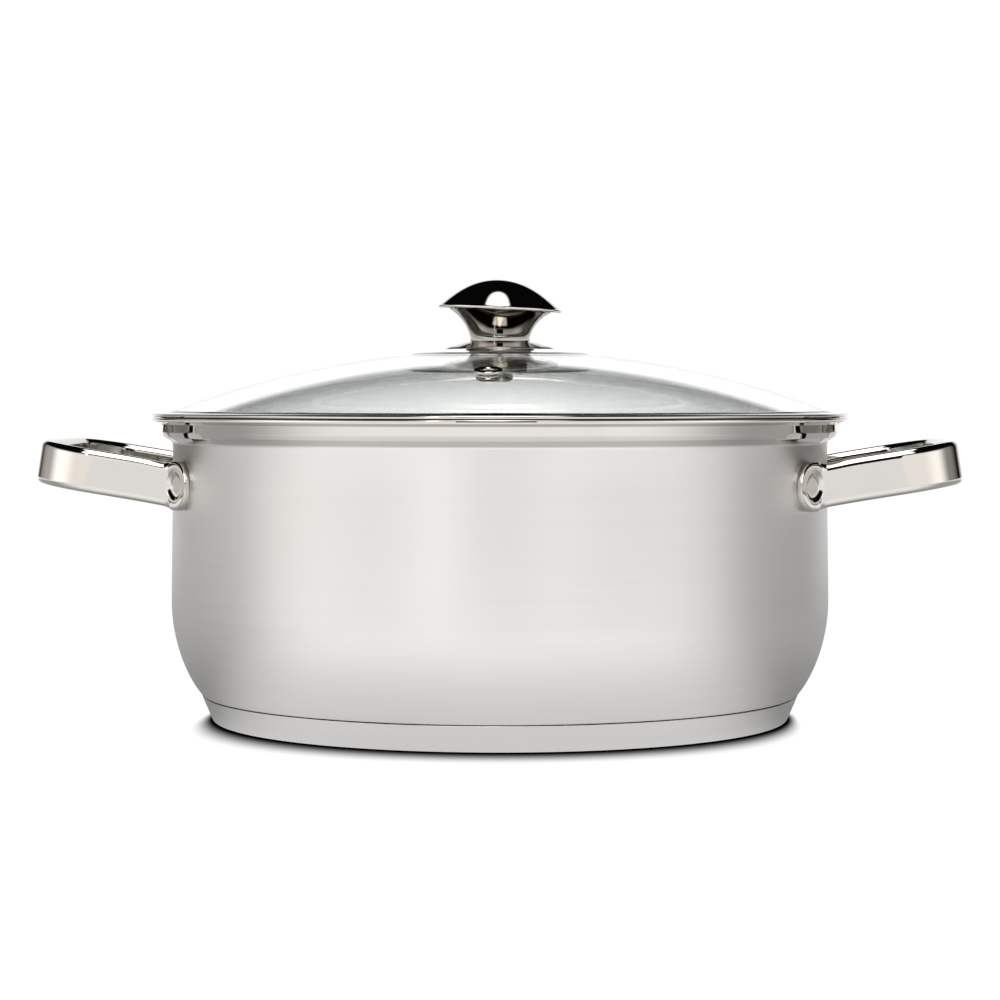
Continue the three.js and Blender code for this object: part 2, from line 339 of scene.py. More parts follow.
@dataclass(frozen=True)
class PolishedSteel(Finish):
    """Mirror-polished steel with faint wiping marks and hairlines."""

    name: str = "polished_steel"
    colour: Colour = (0.62, 0.60, 0.57)
    roughness: float = 0.03

    def inputs(self, tree: ShaderTree) -> dict[str, object]:
        """Returns the inputs: smudges, hairlines and a barely uneven surface."""
        smudge = tree.noise((60.0, 60.0, 90.0), 4.0).ramp(0.45, 0.75)
        hairline = tree.noise((300.0, 2400.0, 1500.0), 2.0).ramp(0.62, 0.8)
        unevenness = tree.noise((120.0, 120.0, 120.0), 1.0)
        height = {"Strength": 0.02, "Distance": 0.0001, "Height": unevenness}
        return {
            "Base Color": tree.mix_colour(smudge * 0.5, opaque(self.colour), opaque(self.colour, 0.93)),
            "Metallic": 1.0,
            "Roughness": self.roughness + smudge * 0.03 + hairline * 0.03,
            "Normal": tree.node("ShaderNodeBump", None, height),
        }


@dataclass(frozen=True)
class ClearGlass(Finish):
    """Clear tempered glass, faintly green where it is seen at a slant."""

    name: str = "clear_glass"
    face: Colour = (0.985, 0.995, 0.99)
    slant: Colour = (0.93, 0.97, 0.955)
    index: float = 1.5

    def inputs(self, tree: ShaderTree) -> dict[str, object]:
        """Returns the inputs: clear glass with a trace of dust."""
        facing = tree.node("ShaderNodeLayerWeight", None, {"Blend": 0.25}, "Facing")
        dust = tree.noise((40.0, 40.0, 40.0), 3.0).ramp(0.55, 0.8)
        return {
            "Base Color": tree.mix_colour(facing, opaque(self.face), opaque(self.slant)),
            "Roughness": dust * 0.02,
            "IOR": self.index,
            "Transmission Weight": 1.0,
        }


@dataclass(frozen=True)
class SoftSilicone(Finish):
    """Cloudy silicone rubber."""

    name: str = "cloudy_silicone"
    colour: Colour = (0.62, 0.64, 0.62)
    index: float = 1.41

    def inputs(self, tree: ShaderTree) -> dict[str, object]:
        """Returns the inputs: a matt, cloudy surface."""
        cloud = tree.noise((350.0, 350.0, 350.0), 3.0)
        return {
            "Base Color": tree.mix_colour(cloud, opaque(self.colour, 0.8), opaque(self.colour)),
            "Roughness": 0.45 + cloud * 0.15,
            "IOR": self.index,
        }


@dataclass(frozen=True)
class MattAluminium(Finish):
    """Bare aluminium with a fine rolled grain."""

    name: str = "matt_aluminium"
    colour: Colour = (0.76, 0.77, 0.78)

    def inputs(self, tree: ShaderTree) -> dict[str, object]:
        """Returns the inputs: a grain that runs one way."""
        grain = tree.noise((120.0, 2500.0, 900.0), 3.0)
        return {
            "Base Color": tree.mix_colour(grain, opaque(self.colour, 0.85), opaque(self.colour)),
            "Metallic": 1.0,
            "Roughness": 0.38 + grain * 0.12,
        }


class Finishes:
    """Every finish of the pot, made once."""

    def __init__(self) -> None:
        """Makes the materials."""
        self.satin = SatinSteel().material()
        self.satin_inside = SatinSteel(name="satin_inside", roughness=0.34).material()
        self.foot = SatinSteel(name="satin_foot", roughness=0.26).material()
        self.turned = SatinSteel(name="turned_face", roughness=0.32, flat=True).material()
        self.polished = PolishedSteel().material()
        # The knob's skirt and seat take a darker copy of the polished steel: painted shade for the dark
        # room they mirror.
        self.knob = PolishedSteel(name="knob_steel_painted_dark", colour=(0.42, 0.40, 0.37)).material()
        self.glass = ClearGlass().material()
        self.silicone = SoftSilicone().material()
        self.aluminium = MattAluminium().material()


# ---- Outlines of turned pieces ----


@dataclass(frozen=True)
class Corner:
    """A corner of an outline, in millimetres, with the radius that rounds it."""

    radius: float
    height: float
    round: float = 0.0


def rounded(corners: Sequence[Corner], closed: bool, steps: int = 5) -> list[Point]:
    """Rounds an outline's corners.

    Args:
        corners: The corners in order.
        closed: Whether the last corner joins the first.
        steps: Segments of each rounding.

    Returns:
        The outline's points.
    """
    points: list[Point] = []
    count = len(corners)
    for i, corner in enumerate(corners):
        here = Vector((corner.radius, corner.height))
        at_end = not closed and i in (0, count - 1)
        if corner.round <= 0 or at_end:
            points.append(tuple(here))
            continue
        before, after = corners[i - 1], corners[(i + 1) % count]
        back = Vector((before.radius, before.height)) - here
        onward = Vector((after.radius, after.height)) - here
        opening = back.angle(onward, math.pi)
        reach = corner.round / math.tan(opening / 2)
        reach = min(reach, 0.48 * back.length, 0.48 * onward.length)
        start, end = here + back.normalized() * reach, here + onward.normalized() * reach
        for k in range(steps + 1):
            t = k / steps
            points.append(tuple(start * (1 - t) ** 2 + here * (2 * t * (1 - t)) + end * t**2))
    return points


def bezier(start: Point, first: Point, second: Point, end: Point, steps: int) -> list[Point]:
    """Draws a cubic curve.

    Args:
        start: The first point.
        first: The handle of the first point.
        second: The handle of the last point.
        end: The last point.
        steps: Segments of the curve.

    Returns:
        The curve's points, one more than steps.
    """
    a, b, c, d = (Vector(p) for p in (start, first, second, end))
    found = []
    for k in range(steps + 1):
        t = k / steps
        u = 1 - t
        found.append(tuple(a * u**3 + b * (3 * u * u * t) + c * (3 * u * t * t) + d * t**3))
    return found


def inset(points: Sequence[Point], depth: float) -> list[Point]:
    """Moves an outline to its left, along the mean normal at each point.

    Args:
        points: The outline's points.
        depth: How far to move them.

    Returns:
        The moved points.
    """
    moved = []
    for i, point in enumerate(points):
        before, after = points[max(i - 1, 0)], points[min(i + 1, len(points) - 1)]
        along = (Vector(after) - Vector(before)).normalized()
        moved.append((point[0] - along.y * depth, point[1] + along.x * depth))
    return moved


def corners_of(points: Iterable[Point]) -> list[Corner]:
    """Returns points as unrounded corners."""
    return [Corner(r, z) for r, z in points]


# ---- Making pieces ----


def finish_mesh(
    name: str,
    shape: bmesh.types.BMesh,
    materials: Sequence[bpy.types.Material],
    sharp_angle: float = 40.0,
) -> bpy.types.Object:
    """Turns a bmesh into an object with smooth faces and sharp creases.

    Args:
        name: The piece's name.
        shape: The mesh, which is freed.
        materials: Its material slots.
        sharp_angle: Creases above this angle, in degrees, stay sharp.

    Returns:
        The object, at the origin.
    """
    mesh = bpy.data.meshes.new(name)
    shape.to_mesh(mesh)
    shape.free()
    for material in materials:
        mesh.materials.append(material)
    mesh.polygons.foreach_set("use_smooth", [True] * len(mesh.polygons))
    mesh.set_sharp_from_angle(angle=math.radians(sharp_angle))
    made = bpy.data.objects.new(name, mesh)
    bpy.context.scene.collection.objects.link(made)
    log.info("%s: %d faces", name, len(mesh.polygons))
    return made


def turned_mesh(points: Sequence[Point], closed: bool, segments: int) -> bmesh.types.BMesh:
    """Spins an outline, in millimetres, a full turn about +Z.

    Args:
        points: Pairs of radius and height.
        closed: Whether the outline closes on itself.
        segments: Steps of the turn.

    Returns:
        A closed mesh in metres, facing out.
    """
    shape = bmesh.new()
    verts = [shape.verts.new((r * MM, 0.0, z * MM)) for r, z in points]
    pairs = list(zip(verts, verts[1:]))
    if closed:
        pairs.append((verts[-1], verts[0]))
    edges = [shape.edges.new(pair) for pair in pairs]
    bmesh.ops.spin(
        shape,
        geom=verts + edges,
        axis=(0, 0, 1),
        cent=(0, 0, 0),
        dvec=(0, 0, 0),
        angle=2 * math.pi,
        steps=segments,
        use_merge=True,
        use_duplicate=False,
    )
    bmesh.ops.remove_doubles(shape, verts=shape.verts, dist=1e-7)
    bmesh.ops.recalc_face_normals(shape, faces=shape.faces)
    return shape


def settle(piece: bpy.types.Object, body: BodyName, nodes: Sequence[str]) -> None:
    """Declares a finished piece to the frame.

    Args:
        piece: The piece.
        body: The body it moves with.
        nodes: The nodes that it stands for.
    """
    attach(piece, body.value)
    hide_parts(*nodes)


def top_of(node: str) -> float:
    """Returns the highest point of a node, in millimetres."""
    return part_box(node)[1][2] / MM


def bottom_of(node: str) -> float:
    """Returns the lowest point of a node, in millimetres."""
    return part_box(node)[0][2] / MM


def reach_of(node: str) -> float:
    """Returns how far a node reaches along +X, in millimetres."""
    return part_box(node)[1][0] / MM


# ---- Pot body ----


@dataclass
class PotBody:
    """The drawn steel body with its collar and lip, and the bonded base under it."""

    finishes: Finishes
    sheet: float = 0.8
    lip: float = field(default_factory=lambda: reach_of("pot_shell"))
    rim: float = field(default_factory=lambda: top_of("pot_shell"))
    seam: float = field(default_factory=lambda: top_of("base_cap"))
    seam_radius: float = field(default_factory=lambda: reach_of("base_cap"))
    underside: float = 8.1
    belly: float = 44.0
    bulge: float = 0.7
    shoulder: float = 101.6
    collar_inset: float = 2.5
    foot_inset: float = 4.0
    ring_insets: tuple[float, ...] = (68.0, 40.0, 12.0)
    segments: int = 288

    @property
    def wall(self) -> float:
        """Outside radius of the straight wall."""
        return self.lip - LIP_OVERHANG

    def build(self) -> None:
        """Builds the body and its base."""
        self._shell()
        self._base_cap()
        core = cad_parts["base_core"]
        core.data.materials.clear()
        core.data.materials.append(self.finishes.aluminium)

    def _outside(self) -> list[Corner]:
        """Returns the outside from the axis up to the lip."""
        low = (self.seam_radius - 0.15, self.seam + 0.35)
        belly = (self.wall + self.bulge, self.belly)
        curve = bezier(low, (114.5, 15.0), (belly[0], 28.0), belly, 26)
        collar = self.lip - self.collar_inset
        return [
            Corner(0.0, self.underside),
            Corner(107.4, self.underside, 0.8),
            Corner(108.6, self.seam + 0.2, 0.2),
            *corners_of(curve),
            Corner(self.wall + 0.45, 62.0, 30.0),
            Corner(self.wall, 88.0, 30.0),
            Corner(self.wall, self.shoulder, 1.2),
            Corner(collar - 1.7, 103.7, 1.4),
            Corner(collar - 0.5, 105.6, 1.5),
            Corner(collar, self.rim - 2.2, 0.5),
            Corner(self.lip, self.rim - 1.3, 0.45),
            Corner(self.lip, self.rim, 0.45),
        ]

    def _inside(self) -> list[Corner]:
        """Returns the inside from the lip down to the axis."""
        low = (self.seam_radius - 0.7, self.seam + 0.9)
        belly = (self.wall + self.bulge - self.sheet, self.belly)
        curve = bezier(low, (113.9, 15.5), (belly[0], 28.0), belly, 26)
        collar = self.lip - self.collar_inset - self.sheet
        floor = self.underside + self.sheet
        return [
            Corner(collar + 0.5, self.rim, 0.9),
            Corner(collar, self.rim - 2.6, 0.6),
            Corner(collar - 0.5, 105.9, 1.5),
            Corner(collar - 1.6, 104.5, 1.2),
            Corner(self.wall - self.sheet, self.shoulder + self.sheet, 1.6),
            Corner(self.wall - self.sheet, 88.0, 30.0),
            *corners_of(reversed(curve)),
            Corner(106.8, floor, 1.5),
            Corner(0.0, floor),
        ]

    def _shell(self) -> None:
        """Builds the body, with its collar and lip polished and its inside satin."""
        points = rounded([*self._outside(), *self._inside()], closed=False)
        shape = turned_mesh(points, closed=False, segments=self.segments)
        collar_start = (self.shoulder + 0.3) * MM
        for face in shape.faces:
            centre = face.calc_center_median()
            outward = face.normal.x * centre.x + face.normal.y * centre.y
            if centre.z > collar_start:
                face.material_index = 1
            elif face.normal.z > 0.98:
                face.material_index = 3
            elif outward < 0 or face.normal.z > 0.9:
                face.material_index = 2
        materials = [
            self.finishes.satin,
            self.finishes.polished,
            self.finishes.satin_inside,
            self.finishes.turned,
        ]
        piece = finish_mesh("pot_shell_surface", shape, materials)
        settle(piece, BodyName.POT, ["pot_shell"])

    def _base_cap(self) -> None:
        """Builds the steel cap pressed round the aluminium disc, with shallow rings beneath."""
        foot = self.seam_radius - self.foot_inset
        rings = []
        for radius in (foot - inset for inset in self.ring_insets):
            rings += [
                Corner(radius - 1.2, 0.0, 0.2),
                Corner(radius - 0.7, 0.25, 0.2),
                Corner(radius + 0.7, 0.25, 0.2),
                Corner(radius + 1.2, 0.0, 0.2),
            ]
        corners = [
            Corner(0.0, 0.0),
            *rings,
            Corner(foot, 0.0, 1.3),
            Corner(self.seam_radius, self.seam, 0.25),
            Corner(self.seam_radius - 0.6, self.seam, 0.15),
            Corner(foot - 0.8, 0.7, 1.0),
            Corner(0.0, 0.7),
        ]
        shape = turned_mesh(rounded(corners, closed=False), closed=False, segments=self.segments)
        for face in shape.faces:
            if abs(face.normal.z) > 0.9:
                face.material_index = 1
        piece = finish_mesh("base_cap_surface", shape, [self.finishes.foot, self.finishes.turned])
        settle(piece, BodyName.POT, ["base_cap"])


# ---- Handles ----


@dataclass(frozen=True)
class Station:
    """A place along the handle bar: its centre, its heading and the size of its section."""

    x: float
    y: float
    heading: float
    half_height: float
    half_bar: float
    edge: float


@dataclass
class Handle:
    """A bent bar that ends in two round feet, each with a pressed dimple."""

    finishes: Finishes
    side: int
    bar: float = 5.5
    height: float = 15.4
    edge: float = 2.1
    corner: float = 22.0
    half_width: float = 46.0
    root: float = 115.0
    root_height: float = 87.1
    rise: float = math.radians(9.2)
    reach: float = 166.0
    foot_radius: float = 8.8
    foot_angle: float = math.radians(24.0)
    foot_face: float = math.radians(36.0)
    foot_distance: float = 123.6
    foot_height: float = 86.7
    dimple_radius: float = 5.2
    dimple_depth: float = 1.1
    bend_clearance: float = 3.0
    lean_length: float = 14.0
    across: int = 16

    def build(self) -> None:
        """Builds the handle on its side of the pot."""
        shape = bmesh.new()
        stations = self._stations()
        loop = self._section(shape, stations[0])
        for station in stations[1:]:
            loop = self._extrude(shape, loop, station)
        shape.faces.new(loop)
        bmesh.ops.mirror(
            shape,
            geom=shape.verts[:] + shape.edges[:] + shape.faces[:],
            axis="Y",
            merge_dist=1e-6,
        )
        bmesh.ops.remove_doubles(shape, verts=shape.verts, dist=1e-6)
        self._press_dimples(shape)
        self._raise_bar(shape)
        self._keep_off_wall(shape)
        if self.side < 0:
            bmesh.ops.rotate(
                shape, verts=shape.verts, cent=(0, 0, 0), matrix=Matrix.Rotation(math.pi, 3, "Z")
            )
        bmesh.ops.recalc_face_normals(shape, faces=shape.faces)
        name = "right_handle" if self.side > 0 else "left_handle"
        piece = finish_mesh(name + "_bar", shape, [self.finishes.polished], 60.0)
        smooth = piece.modifiers.new("smooth", "SUBSURF")
        smooth.levels = 2
        smooth.render_levels = 2
        settle(piece, BodyName.POT, [name])

    def _foot_centre(self) -> Vector:
        """Returns the middle of a foot's face, in plan."""
        direction = Vector((math.cos(self.foot_angle), math.sin(self.foot_angle)))
        return direction * self.foot_distance

    def _stations(self) -> list[Station]:
        """Returns the stations from the middle of the grip to the far edge of one foot."""
        half = self.bar / 2
        tip = self.reach - half
        leg = self.half_width - half
        radius = self.corner - half
        high = self.height / 2
        found = [Station(tip, y, math.pi / 2, high, half, self.edge) for y in (0.0, 8.0, 16.0)]
        centre = (self.reach - self.corner, self.half_width - self.corner)
        for k in range(13):
            turn = math.pi / 2 * k / 12
            x, y = centre[0] + radius * math.cos(turn), centre[1] + radius * math.sin(turn)
            found.append(Station(x, y, math.pi / 2 + turn, high, half, self.edge))
        normal = Vector((math.cos(self.foot_face), math.sin(self.foot_face)))
        along = Vector((-normal.y, normal.x))
        middle = self._foot_centre() - normal * half
        meet = middle + along * ((leg - middle.y) / along.y)
        bend_turn = math.pi - math.atan2(along.y, along.x)
        bend_radius = half + self.bend_clearance
        tangent = bend_radius * math.tan(bend_turn / 2)
        start = meet.x + tangent
        for k in range(1, 7):
            x = centre[0] + (start - centre[0]) * k / 6
            found.append(Station(x, leg, math.pi, high, half, self.edge))
        hub = Vector((start, leg + bend_radius))
        for k in range(1, 7):
            turn = bend_turn * k / 6
            x = hub.x - bend_radius * math.sin(turn)
            y = hub.y - bend_radius * math.cos(turn)
            taller = high + (self.foot_radius - high) * k / 6
            found.append(Station(x, y, math.pi - turn, taller, half, self.edge))
        first = (Vector((found[-1].x, found[-1].y)) - middle).dot(along)
        stretch = [first * (1 - k / 5) for k in range(1, 6)]
        stretch += [self.foot_radius * math.sin(math.radians(a)) for a in range(8, 86, 7)]
        heading = math.atan2(along.y, along.x)
        for s in stretch:
            place = middle + along * s
            width = math.sqrt(max(self.foot_radius**2 - max(s, 0.0) ** 2, 0.2))
            found.append(Station(place.x, place.y, heading, width, half, min(1.2, width * 0.6)))
        return found

    def _section_points(self, station: Station) -> list[Vector]:
        """Lays out the bar's section at a station.

        Args:
            station: The place along the bar.

        Returns:
            The section's corners, anticlockwise from the outer face.
        """
        outward = Vector((math.sin(station.heading), -math.cos(station.heading)))
        edge = min(station.edge, station.half_bar - 0.05, station.half_height - 0.02)
        straight = station.half_height - edge
        flat = station.half_bar - edge
        turns = [math.radians(a) for a in (0, 22.5, 45, 67.5, 90)]
        step = 2 * straight / self.across
        side = [(station.half_bar, -straight + step * k) for k in range(1, self.across)]
        arc = [(flat + edge * math.cos(a), straight + edge * math.sin(a)) for a in turns]
        half = side + arc
        arc_back = [(-flat - edge * math.sin(a), straight + edge * math.cos(a)) for a in turns]
        outline = half + arc_back
        outline += [(-depth, -high) for depth, high in half + arc_back]
        points = []
        for depth, high in outline:
            plan = Vector((station.x, station.y)) + outward * depth
            points.append(Vector((plan.x, plan.y, self.root_height + high)) * MM)
        return points

    def _section(self, shape: bmesh.types.BMesh, station: Station) -> list[bmesh.types.BMVert]:
        """Adds the first section's loop.

        Args:
            shape: The mesh.
            station: Where the loop goes.

        Returns:
            The loop, in order.
        """
        verts = [shape.verts.new(p) for p in self._section_points(station)]
        for first, second in zip(verts, verts[1:] + verts[:1]):
            shape.edges.new((first, second))
        return verts

    def _extrude(
        self, shape: bmesh.types.BMesh, loop: list[bmesh.types.BMVert], station: Station
    ) -> list[bmesh.types.BMVert]:
        """Extrudes a loop to the next station.

        Args:
            shape: The mesh.
            loop: The last loop, in order.
            station: Where the new loop goes.

        Returns:
            The new loop, in the same order.
        """
        edges = [shape.edges.get((a, b)) for a, b in zip(loop, loop[1:] + loop[:1])]
        made = bmesh.ops.extrude_edge_only(shape, edges=edges)["geom"]
        fresh = {v for v in made if isinstance(v, bmesh.types.BMVert)}
        ordered = []
        for old in loop:
            new = next(e.other_vert(old) for e in old.link_edges if e.other_vert(old) in fresh)
            ordered.append(new)
        for vert, place in zip(ordered, self._section_points(station), strict=True):
            vert.co = place
        return ordered

    def _press_dimples(self, shape: bmesh.types.BMesh) -> None:
        """Presses the round hollow of the weld into each foot."""
        normal = Vector((math.cos(self.foot_face), math.sin(self.foot_face), 0.0))
        centre = Vector((*self._foot_centre(), self.root_height)) * MM
        for side in (1, -1):
            flip = Matrix.Diagonal((1, side, 1))
            face, middle = flip @ normal, flip @ centre
            for vert in shape.verts:
                offset = vert.co - middle
                depth = offset.dot(face)
                away = (offset - face * depth).length / MM
                if abs(depth) < 0.4 * MM and away < self.dimple_radius:
                    share = 1 - (away / self.dimple_radius) ** 2
                    vert.co -= face * (self.dimple_depth * min(1.0, 2.2 * share) * MM)

    def _raise_bar(self, shape: bmesh.types.BMesh) -> None:
        """Slopes the bar up from its feet and leans its section with the slope."""
        for vert in shape.verts:
            x, height = vert.co.x / MM, vert.co.z / MM - self.root_height
            share = min(max((x - self.root) / self.lean_length, 0.0), 1.0)
            lean = share * share * (3 - 2 * share)
            low = self.foot_height - self.root_height
            vert.co.z += (max(x - self.root, 0.0) * math.tan(self.rise) + low * (1 - lean)) * MM
            vert.co.x -= height * math.sin(self.rise) * lean * MM

    def _keep_off_wall(self, shape: bmesh.types.BMesh) -> None:
        """Lays the backs of the feet on the wall."""
        wall = reach_of("pot_shell") - LIP_OVERHANG + 0.05
        for vert in shape.verts:
            radius = math.hypot(vert.co.x, vert.co.y) / MM
            if radius < wall:
                vert.co.x *= wall / radius
                vert.co.y *= wall / radius


# ---- Lid ----


@dataclass
class Lid:
    """The glass dome, the steel band round it and the steam vent in it."""

    finishes: Finishes
    dome_radius: float = 335.0
    glass: float = 4.0
    seat: float = field(default_factory=lambda: top_of("lid_glass"))
    seat_radius: float = 32.0
    dome_rise: float = 1.2
    edge: float = field(default_factory=lambda: reach_of("lid_glass"))
    band: float = field(default_factory=lambda: reach_of("lid_band"))
    band_bottom: float = field(default_factory=lambda: top_of("pot_shell") + SEAT_GAP)
    skirt_bottom: float = field(default_factory=lambda: bottom_of("lid_band"))
    ledge: float = 119.6
    sheet: float = 0.45
    rim_height: float = 1.1
    screw_hole: float = 5.6
    vent_distance: float = 76.0
    segments: int = 256

    def build(self) -> None:
        """Builds the lid's pieces."""
        self._glass_dome()
        self._band()
        self._seal()
        self._vent()

    def _turned(self, corners: Sequence[Corner], steps: int = 5) -> bmesh.types.BMesh:
        """Turns a closed outline, with steps segments in each rounding, about the pot's axis."""
        return turned_mesh(rounded(corners, closed=True, steps=steps), True, self.segments)

    def dome(self, radius: float, depth: float = 0.0) -> float:
        """Returns the height of a dome concentric with the glass, depth inside its face."""
        centre = self.seat + self.dome_rise - self.dome_radius
        return centre + math.sqrt((self.dome_radius - depth) ** 2 - radius**2)

    def _dome_line(self, start: float, end: float, depth: float, steps: int) -> list[Point]:
        """Returns points along the dome between two radii."""
        radii = [start + (end - start) * k / steps for k in range(steps + 1)]
        return [(r, self.dome(r, depth)) for r in radii]

    def _glass_dome(self) -> None:
        """Builds the tempered glass, with ground edges and a flat seat for the knob."""
        edge = self.edge - 0.7
        outer = corners_of(self._dome_line(self.seat_radius + 1.6, edge, 0.0, 48))
        inner = corners_of(self._dome_line(self.seat_radius + 2.0, edge, self.glass, 48))
        under = self.seat - self.glass
        corners = [
            Corner(self.screw_hole, under, 0.3),
            Corner(self.seat_radius + 0.4, under, 0.9),
            *inner,
            Corner(self.edge, self.dome(self.edge, self.glass) + 0.2, 0.5),
            Corner(self.edge, self.dome(self.edge) - 0.2, 0.5),
            *reversed(outer),
            Corner(self.seat_radius, self.seat, 0.9),
            Corner(self.screw_hole, self.seat, 0.3),
        ]
        piece = finish_mesh("lid_glass_dome", self._turned(corners), [self.finishes.glass], 50.0)
        settle(piece, BodyName.LID, ["lid_glass"])

    def _band(self) -> None:
        """Builds the band: a flat rim, a skirt and the ledge that carries the glass."""
        skirt = self.edge + 0.8
        inside = skirt - self.sheet
        top = self.band_bottom + self.rim_height
        ledge_top = self.skirt_bottom + self.sheet
        corners = [
            Corner(self.ledge, self.skirt_bottom, 0.2),
            Corner(skirt, self.skirt_bottom, 0.6),
            Corner(skirt, self.band_bottom, 0.3),
            Corner(self.band, self.band_bottom, 0.55),
            Corner(self.band, top, 0.75),
            Corner(skirt + 0.9, top + 0.2, 0.9),
            Corner(inside + 0.1, top + 0.4, 0.25),
            Corner(inside, top, 0.1),
            Corner(inside, ledge_top, 0.2),
            Corner(self.ledge, ledge_top, 0.2),
        ]
        piece = finish_mesh("lid_band_steel", self._turned(corners), [self.finishes.polished])
        settle(piece, BodyName.LID, ["lid_band"])

    def _seal(self) -> None:
        """Builds the silicone ring between the glass and its ledge."""
        bottom, inner = self.skirt_bottom + 0.5, self.ledge + 0.2
        corners = [
            Corner(inner, bottom, 0.2),
            Corner(self.edge, bottom, 0.2),
            Corner(self.edge, self.dome(self.edge, self.glass) - 0.02, 0.2),
            Corner(inner, self.dome(inner, self.glass) - 0.02, 0.2),
        ]
        shape = self._turned(corners, steps=3)
        piece = finish_mesh("rim_seal_ring", shape, [self.finishes.silicone])
        settle(piece, BodyName.LID, ["rim_seal"])

    def _vent(self) -> None:
        """Builds the steam vent's rolled eyelet."""
        tilt = math.asin(self.vent_distance / self.dome_radius)
        middle = Vector((0, -self.vent_distance, self.dome(self.vent_distance))) * MM
        place = Matrix.Translation(middle) @ Matrix.Rotation(tilt, 4, "X")
        eyelet = [
            Corner(2.3, -5.3, 0.3),
            Corner(4.3, -5.3, 0.4),
            Corner(4.3, -4.4, 0.35),
            Corner(3.2, -4.3, 0.3),
            Corner(3.2, 0.15, 0.2),
            Corner(5.15, 0.15, 0.3),
            Corner(5.15, 1.2, 0.7),
            Corner(2.3, 1.2, 0.9),
        ]
        shape = turned_mesh(rounded(eyelet, closed=True), closed=True, segments=72)
        bmesh.ops.transform(shape, matrix=place, verts=shape.verts)
        piece = finish_mesh("vent_eyelet_rolled", shape, [self.finishes.polished])
        settle(piece, BodyName.LID, ["vent_eyelet"])


